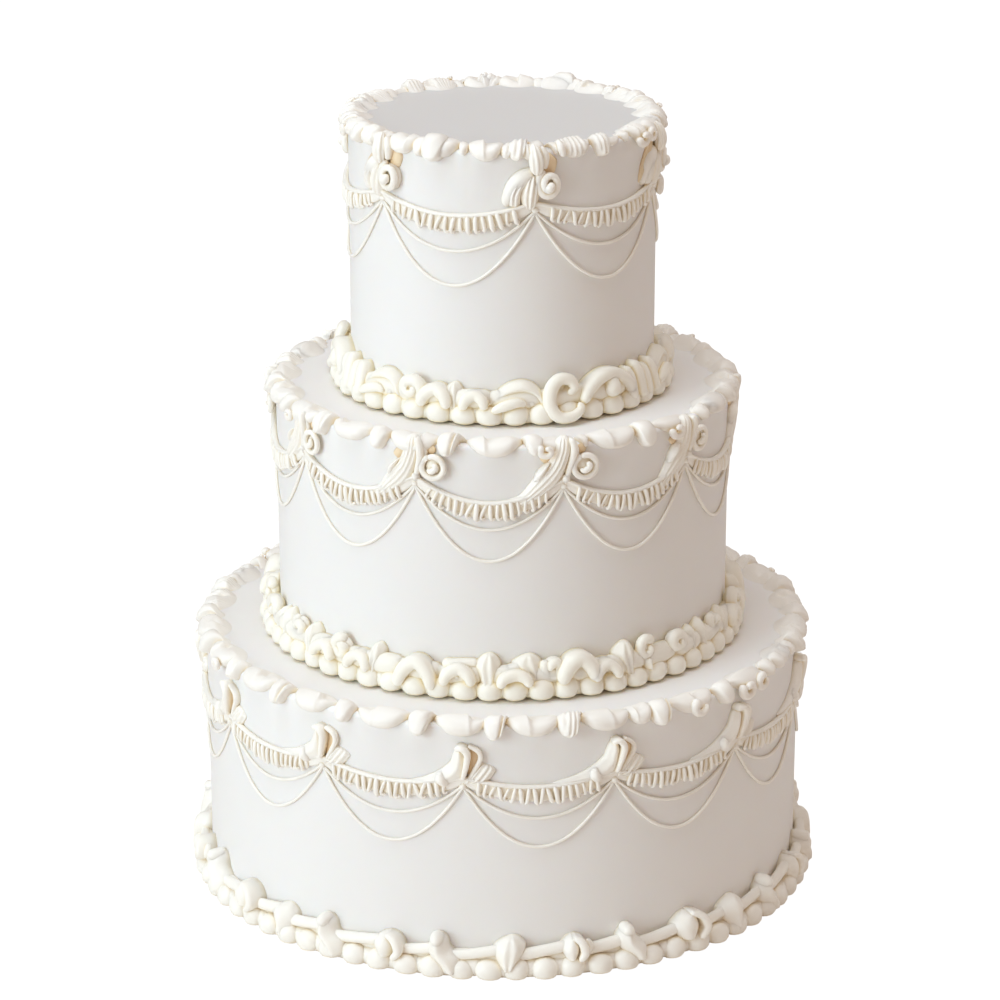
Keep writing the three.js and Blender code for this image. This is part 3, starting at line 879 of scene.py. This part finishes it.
# Petals and drops in their order round each tier, from the front to the right
BORDERS = {
    "top": (lambda w: [
        [thumb(3, 6, 4.3, 4, at=-6), petal(0.8 * w, notch=-0.3, hang=5)],
        [petal(1.05 * w, 0.1, notch=0.42, fan=-0.1),
         stroke([(-8.4, -0.6, 4.2, 0.9), (-8, 2.6, 1.2, 1.8), (-6.6, 3.4, -3.4, 1.5)], sides=12)],
        petal(0.95 * w, hang=2.6, reach=4, thick=2.2),
        [petal(0.8 * w, -0.1, fan=0.2, hang=4.4), lip_curl(-2, 1.1), lip_curl(6, 0.9, 60)],
        [thumb(2, 4.6, 3, at=-5), thumb(1.6, 4.2, 2.8, at=4),
         petal(0.8 * w, hang=3.2, thick=3.6)],
        petal(w, 0.1, notch=-0.2),
        [petal(0.9 * w, notch=0.1, side=-1, hang=5), lip_curl(-3, 0.9)],
        petal(w, -0.1, notch=0.3, fan=0.1),
        petal(w, 0.1, notch=0.45, side=-1),
        [petal(w, 0, hang=4.6), thumb(0, 7.6, 5.6, at=-3)],
        petal(1.02 * w, 0.08, notch=-0.08)],
        [thumb(3, 5, 3, 3), thumb(-1.5, 4, 2.2, at=1),
         thumb(0.6, 7.4, 4.2, 5, at=4), thumb(1.2, 3.4, 2.4), thumb(2.2, 6, 3.6),
         thumb(-1, 6.8, 4, 5), thumb(2, 5.2, 3.2), thumb(0.4, 7, 4),
         thumb(-1.6, 6.2, 3.4, 4), thumb(1, 6.4, 3.4), thumb(-1.2, 4, 2.6)]),
    "middle": (lambda w: [
        [petal(0.7 * w, hang=4, thick=3.6, at=-4), lip_curl(-7.6, 1, 120)],
        petal(w, 0.06, notch=-0.25, at=-8),
        [petal(0.85 * w, -0.2, hang=3.6, thick=4, at=-7), lip_curl(-9, 1.1, 150)],
        [petal(0.75 * w, hang=4.6, at=-3), thumb(1.8, 4.4, 3, at=-8),
         thumb(1.4, 4.8, 3, at=4)],
        petal(w, 0, notch=0.1, side=-1), petal(w, 0.1, notch=-0.3, fan=0.2),
        [petal(w, -0.1, notch=0.2), lip_curl(-7, 0.9)],
        petal(w, 0.1, notch=-0.5, hang=5), petal(w, -0.1, notch=0.35, side=-1),
        petal(0.95 * w, 0.06, notch=-0.35, at=4)],
        [thumb(-1.6, 5.6, 4.4, at=5), thumb(-1, 3.6, 2.4, at=-6),
         thumb(-1.4, 8.2, 4.9, at=-9), thumb(1.8, 5, 3.2), thumb(-1.2, 6.6, 4.2, 5),
         thumb(2, 7.2, 4.6), thumb(-0.8, 6, 3.8), thumb(1.2, 7.4, 4.8, 5),
         thumb(-1, 6.8, 4.2), thumb(2.4, 6.6, 4.8, lip=True)]),
    "bottom": (lambda w: [
        petal(w, 0.05, notch=-0.2, at=-5),
        [petal(0.98 * w, -0.05, notch=0.1, at=-8.6),
         petal(0.55 * w, 0.2, notch=-0.4, hang=4.6, at=8.6)],
        [petal(w, 0.1, notch=-0.1), lip_curl(1, 1.35, 100, 0.8)],
        [petal(0.95 * w, 0, hang=4.8), lip_curl(-6, 1.35, 130, 1.1), lip_curl(6, 1.2, 60, 1)],
        [petal(0.8 * w, hang=4, thick=4), thumb(1.8, 4.8, 3.2, at=-8),
         thumb(1.6, 4.4, 3, at=1), thumb(1.6, 4.6, 3, at=9)],
        petal(w, 0.1, notch=-0.3, fan=0.1), petal(w, -0.1, notch=0.2, side=-1),
        [petal(w, 0, notch=-0.4), lip_curl(5, 1)],
        petal(w, 0.1, notch=0), petal(0.9 * w, -0.1, notch=0.3, hang=5),
        petal(w, 0.1, notch=-0.2, side=-1), petal(0.95 * w, 0, notch=0.25)],
        [thumb(2.6, 7.8, 4.8, lip=True, at=-3.4), thumb(3.2, 7.4, 4.9, 6, at=-7.2),
         thumb(2, 8, 5, lip=True, at=-0.4), thumb(1.6, 7, 4.6), thumb(2, 5, 3.4),
         thumb(-1, 7, 4.6, 6), thumb(2, 6.8, 4.4), thumb(0.6, 7.6, 5),
         thumb(-1.6, 7, 4.4, 5), thumb(1.4, 7.4, 4.8, lip=True), thumb(-1.2, 6.8, 4.4),
         thumb(2, 7.2, 4.8)]),
}
for name, tier in TIERS.items():
    top = tier["base"] + tier["height"]
    petals, drops = BORDERS[name]
    pitch = TURN / tier["lobes"]
    start = math.radians(tier["lobe_start"])
    wide = min(PETAL_WIDEST, PETAL_SHARE_OF_PITCH * TURN * tier["radius"] / tier["lobes"])
    shared = dict(Pieces=tier["lobes"], Shuffle=0.0, Icing=border_icing)
    stands_for(f"top_border_{name}", "piped_icing",
               set_out(f"petal_border_{name}", petals(wide), tier, top, Start=start, Seed=21,
                       Lean=0.03, Size_Change=0.02, **shared),
               set_out(f"teardrop_border_{name}", drops, tier, top, Start=start - 0.5 * pitch,
                       Seed=29, Lean=0.06, Size_Change=0.04, **shared))

# Ribbed garlands
# From drop point to drop point hangs a band of icing with a rolled upper edge. Short upright ribs
# are squeezed over it one beside the other, so that it looks like gathered cloth.
BAND_HALF, BAND_STEPS = 4.1, 44


def sag(share):
    """How low a swag hangs on its way to the next drop point: 1 is its lowest."""
    return 4 * share * (1 - share)


def garland_band(tier, top):
    """Closed band round the tier: a section of [out, up] points at each step."""
    corners, count = [], tier["swags"] * BAND_STEPS
    for k in range(count):
        share = k % BAND_STEPS / BAND_STEPS
        angle = math.radians(tier["swag_start"]) + k / count * TURN
        half = BAND_HALF * (0.45 + 0.55 * math.sqrt(sag(share)))
        middle = -tier["drop"] - (tier["band"] - tier["drop"]) * sag(share)
        section = [(-0.2, -half + 0.6), (0.7, -half), (1.35, -half + 0.6), (1.55, -0.3 * half),
                   (1.65, 0.3 * half), (1.8, half - 1.4), (2.5, half - 1.2), (2.95, half - 0.5),
                   (2.6, half + 0.3), (1.5, half + 0.6), (0.4, half + 0.4), (-0.2, half - 0.6)]
        for out, up in section:
            reach = tier["radius"] + out
            corners.append((reach * math.sin(angle), -reach * math.cos(angle), top + middle + up))
    return facing_out((np.array(corners), band_faces(count, len(section))))


def rib(bend, half, curl):
    """One upright rib over the band, whose foot curls towards the next one."""
    foot = -0.6 * bend
    return stroke([(bend, 1.7, 3.7, 0.8), (0.3 * bend, 2.5, 1.6, half),
                   (-0.3 * bend, 2.6, -1.4, half), (foot, 2.3, -3.7, half),
                   (0.5 * curl + foot, 1.9, -4.7, 0.86 * half),
                   (curl + foot, 1.7, -3.6, 0.5 * half)], sides=8, steps=14)


for name, tier in TIERS.items():
    top = tier["base"] + tier["height"]
    band = new_piece(f"garland_band_{name}", garland_band(tier, top), piping)
    ribs = set_out(f"garland_ribs_{name}", [
        rib(0.5, 1.05, 1.9), rib(-0.4, 1.25, 1.3), rib(1.2, 0.9, 2.3), rib(0.1, 0.95, -1.2),
        rib(-0.8, 1.1, 1.8)], tier, top - tier["drop"], Swags=tier["swags"], Pieces=tier["ribs"],
        From=0.08, To=0.90, Sag=(tier["band"] - tier["drop"]) * MM,
        Start=math.radians(tier["swag_start"]), Taper=0.8, Seed=41, Lean=0.18, Size_Change=0.12)
    stands_for(f"ribbed_garland_{name}", "piped_icing", band, ribs)

# Drop strings
# Two thin strings of royal icing under each garland, let hang from the nozzle between the drop
# points and touched to the wall at their ends, so that each falls in an even curve.
STRING_HALF = 0.8


def hanging_strings():
    """Tree that hangs one string and sets copies of it round the tier with slightly uneven sag."""
    tree, add, value = node_tree("hanging_strings", {
        "Swags": "Int", "Radius": "Float", "Height": "Float", "Sag": "Float", "Start": "Float",
        "Half Thickness": "Float", "Steps": "Int", "Sag Change": "Float", "Seed": "Int",
        "Icing": "Material"})
    line = add("GeometryNodeCurvePrimitiveLine")
    steps = add("GeometryNodeResampleCurve", Curve=line.outputs[0], Count=value["Steps"])
    share = Number(add, add("GeometryNodeSplineParameter").outputs["Factor"])
    place = round_the_axis(add, value["Radius"], share * TURN / value["Swags"],
                           value["Sag"] * share * (share - 1) * 4)
    hung = add("GeometryNodeSetPosition", Geometry=steps.outputs[0], Position=place)
    nozzle = add("GeometryNodeCurvePrimitiveCircle", Resolution=8, Radius=value["Half Thickness"])
    string = add("GeometryNodeCurveToMesh", Curve=hung.outputs[0],
                 Profile_Curve=nozzle.outputs[0], Fill_Caps=True)
    points = add("GeometryNodePoints", Count=value["Swags"],
                 Position=joined(add, z=value["Height"]))
    index = Number(add, add("GeometryNodeInputIndex").outputs[0])
    uneven = random_number(add, value["Seed"]) * value["Sag Change"] + 1
    placed = add("GeometryNodeInstanceOnPoints", Points=points.outputs[0],
                 Instance=string.outputs[0], Scale=joined(add, 1.0, 1.0, uneven),
                 Rotation=joined(add, z=index * TURN / value["Swags"] + value["Start"]))
    end_tree(add, placed, value["Icing"])
    return tree


string_tree = hanging_strings()
for name, tier in TIERS.items():
    top = tier["base"] + tier["height"]
    for row, below in (("upper", 2.6), ("lower", 3.4)):
        drop = tier["drop"] + below
        string = grown(f"{row}_drop_string_{name}", string_tree, {
            "Swags": tier["swags"], "Radius": (tier["radius"] + STRING_HALF - 0.1) * MM,
            "Height": (top - drop) * MM, "Sag": (tier[row] - drop) * MM,
            "Start": math.radians(tier["swag_start"]), "Half Thickness": STRING_HALF * MM,
            "Steps": 40, "Sag Change": 0.02, "Seed": 5, "Icing": piping})
        stands_for(f"{row}_string_{name}", "piped_icing", string)

# Ornaments at the drop points of the top tier
# A ridged shell from a star nozzle hangs over the border, a fan of smaller shells sweeps down to
# its left, and a two-coil swirl sits on the right, over the point where the strings meet.
uneven = np.random.default_rng(17)
# Butter-brown icing that paints the shade in the ornaments' hollows
painted_shade_icing = piped_icing("painted_hollow_shade", (0.84, 0.66, 0.44), (0.90, 0.76, 0.56),
                           (0.78, 0.55, 0.30))


def ornaments(tier_name, node_name, piece_name, shells, painted_shade_shells):
    """Pipes the same ornament over each drop point, none quite like the next. Butter-brown
    patches of painted shade sit in its hollows."""
    tier = TIERS[tier_name]
    pivot = -tier["drop"] - 2
    for k in range(tier["swags"]):
        # The first one of the top tier has no painted shade behind its fan
        painted_shade_pieces = painted_shade_shells[:1] if (tier_name, k) == ("top", 0) else painted_shade_shells
        angle = math.radians(tier["swag_start"]) + k / tier["swags"] * TURN
        tilt, size = uneven.normal(0, 0.025), 1 + uneven.normal(0, 0.02)
        for part, some, icing in (("", shells, piping), ("_hollow", painted_shade_pieces, painted_shade_icing)):
            corners, faces = together(some)
            along, up = corners[:, 0] * size, (corners[:, 2] - pivot) * size
            corners = np.stack([along * math.cos(tilt) - up * math.sin(tilt), corners[:, 1],
                                pivot + along * math.sin(tilt) + up * math.cos(tilt)], 1)
            shell = on_wall((corners, faces), tier["radius"], angle, tier["base"] + tier["height"])
            stands_for(f"{node_name}_{k + 1}", "piped_icing",
                       new_piece(f"{piece_name}{part}_{k + 1}", shell, icing))


ornaments("top", "shell_rosette_top", "shell_and_swirl", [
    stroke([(-0.4, 1.6, 3.4, 1), (0, 3.6, 0.6, 2.6), (0.5, 4.8, -4.2, 3.4), (0.7, 4.4, -8.4, 3.1),
            (0.6, 3.6, -11.4, 2)], sides=40, ribs=8, groove=0.22, flat=0.9, steps=24),
    stroke([(3.2, 3, 2.2, 1), (4.9, 3.4, -2.6, 1.9), (4.5, 2.8, -9, 1.3)], sides=12, rooted=True),
    blade([(-0.6, -7.4), (-7.4, -9.2), (-13.2, -14.8), (-16.4, -24.4)],
          [(0.6, -13.6), (-3.4, -17.6), (-8.2, -22), (-13, -27.6)], (3.4, 4.8, 4.2, 2), across=15),
    blade([(-3, -11.2), (-8.8, -13.4), (-12.8, -19.4), (-13.2, -26.4)],
          [(-1.6, -13), (-4.2, -16.4), (-6.2, -21), (-7, -27.8)], (3.4, 4.8, 5.2, 3.2), across=19,
          ribs=3, groove=0.22),
    blade([(-3, -11.4), (-5.6, -15.4), (-7, -21), (-5.8, -28.2)],
          [(2.2, -11.2), (2.6, -16), (2.2, -22), (0.4, -29)], (4.2, 6, 6.2, 3.8), across=25,
          ribs=4, groove=0.22),
    blade([(1.6, -10.6), (0, -16.6), (1.6, -23)], [(8.6, -10.2), (11.6, -16.2), (9.6, -22.6)],
          (2.8, 3.6, 2.8), across=15),
    stroke(coil((6.2, -16.2), 5.4, 1.9, 1.45, 110, (1.8, 1.6), (3.2, 5.8), 1.34), sides=12,
           steps=48),
    stroke([(4, 4.4, -19.4, 1.2), (5.8, 6.2, -17.8, 2.2), (7.4, 5.6, -15, 1.5)], sides=12),
    bead(0, -28.8, 1.7, 2.6),
], [
    # Patches of painted shade, right of the hanging shell and behind the fan
    blade([(1.6, -0.4), (2.4, -6), (4, -11.6)], [(7.8, -1.6), (11.8, -6), (10.2, -12.4)],
          (1.2, 2, 1.8), steps=16),
    blade([(-3, -0.6), (-8, -6.8), (-14.6, -15.4), (-17.4, -24)],
          [(0, -8), (-5.2, -12.6), (-11.2, -18.8), (-15.4, -25.6)], (1.8, 2.8, 2.6, 1.2), steps=20,
          across=15, ribs=2, groove=0.35),
])

# Ornaments at the drop points of the middle tier
# The end of the garland swells and sweeps up in a gathered arm to the border, with a thin double
# line on its right, a bead below and a round rosette, closed with a comma, beside it.
ornaments("middle", "scroll_rosette_middle", "arm_and_rosette", [
    blade([(-27, -27.6), (-20.4, -24.8), (-16.4, -19.6), (-12.6, -13.4), (-8.6, -9.2), (-6.2, -3),
           (-5, 4)],
          [(-27, -30.2), (-17, -30.6), (-9.2, -25.2), (-2.8, -19.8), (0.6, -12.4), (2.6, -4),
           (2.4, 4)],
          (2, 3, 4, 4.8, 5.2, 5.4, 4.8), across=31, ribs=5, groove=0.15),
    stroke([(1.2, 4.6, 3.4, 1.2), (3, 4.4, -1, 1.7), (2.8, 3.2, -7, 1.7), (1.5, 2.4, -13, 1.4),
            (0.3, 1.8, -19, 0.9)], sides=12, rooted=True),
    stroke([(2.8, 3.2, 1.4, 0.8), (4.9, 2.2, -3, 1.1), (4.5, 1.7, -8.4, 1.1),
            (2.9, 1.3, -13.4, 0.8)], sides=10, rooted=True),
    blade([(-15, -18.6), (-13.4, -13.6), (-9.8, -9.4)],
          [(-10.6, -17), (-8.4, -11.6), (-6.4, -7.8)],
          (3.4, 5.4, 4.6), steps=16),
    bead(9.1, -10.6, 6.6, 2.9),
    stroke(coil((9.1, -10.6), 5.4, 5.3, 1.02, 110, (1.5, 1.4), (2.8, 3.2)), sides=12, steps=40),
    stroke([(6.6, 3.2, -11.8, 0.9), (8.8, 4, -12.4, 1.5), (10.8, 4.2, -10.4, 1.5),
            (9.6, 4.2, -8.2, 1)], sides=12),
    bead(0.6, -16.4, 2.1, 4),
    bead(0, -20.4, 1.6, 2.4),
], [
    # Patches of painted shade on either side of the arm's top
    bead(7.4, -2.6, 3.9, 1.6),
    blade([(-12.6, -7), (-9.4, -3), (-6.6, 0.4)], [(-9, -10.4), (-5.4, -6), (-3, -0.6)],
          (1.4, 2.4, 2), steps=16),
])

# Ornaments at the drop points of the bottom tier
# The garland's rolled edge swells into a tall horn with a rounded tip and a rolled right side. A
# thin line runs down beside it to a small ball, with a lobe on its left and a veined leaf right.
ornaments("bottom", "horn_shell_bottom", "horn_and_leaf", [
    blade([(-31, -29.4), (-22, -27.2), (-16.2, -25), (-10.3, -21.6), (-6, -18), (-4.2, -13.8),
           (-2.6, -10.2)],
          [(-31, -31.4), (-21, -30.8), (-13.5, -30.4), (-5.2, -29.4), (0.4, -25.6), (2.4, -17.4),
           (1.4, -10)],
          (1.8, 2.6, 3.4, 4.2, 4.8, 5, 4.6), steps=30, across=21, ribs=2, groove=0.13),
    stroke([(-2.6, 4.4, -10.4, 1.1), (0.6, 5, -9.6, 1.5), (3.2, 5, -12.8, 1.6),
            (2.4, 4.4, -18.8, 1.5), (0.2, 3.2, -26.6, 1)], sides=12, rooted=True),
    stroke([(3.6, 3, -9.2, 0.8), (8.4, 2.5, -12.4, 1.1), (9, 2.3, -16.4, 1.2),
            (5.8, 1.9, -22.4, 1.2), (1.6, 1.4, -29.2, 0.8)], sides=10, rooted=True),
    blade([(-13, -24.2), (-13.8, -27.6), (-10.6, -30.8)],
          [(-9.6, -22.2), (-6.6, -26.2), (-6.8, -30.4)],
          (4.4, 5.8, 3.8), steps=16, across=13),
    bead(0, -30.8, 1.7, 2.8),
    blade([(2.6, -28.6), (3.8, -23.6), (8, -17.8)], [(3.6, -30.8), (10.8, -29.6), (17.6, -22)],
          (1.8, 3.8, 2.6), steps=20, across=25, ribs=4, groove=0.30),
], [
    # A patch of painted shade right of the horn
    blade([(2, -9.4), (3, -15), (1.6, -25)], [(6.4, -10), (10, -15.4), (5, -25.4)],
          (1.4, 2, 1.4), steps=16),
])
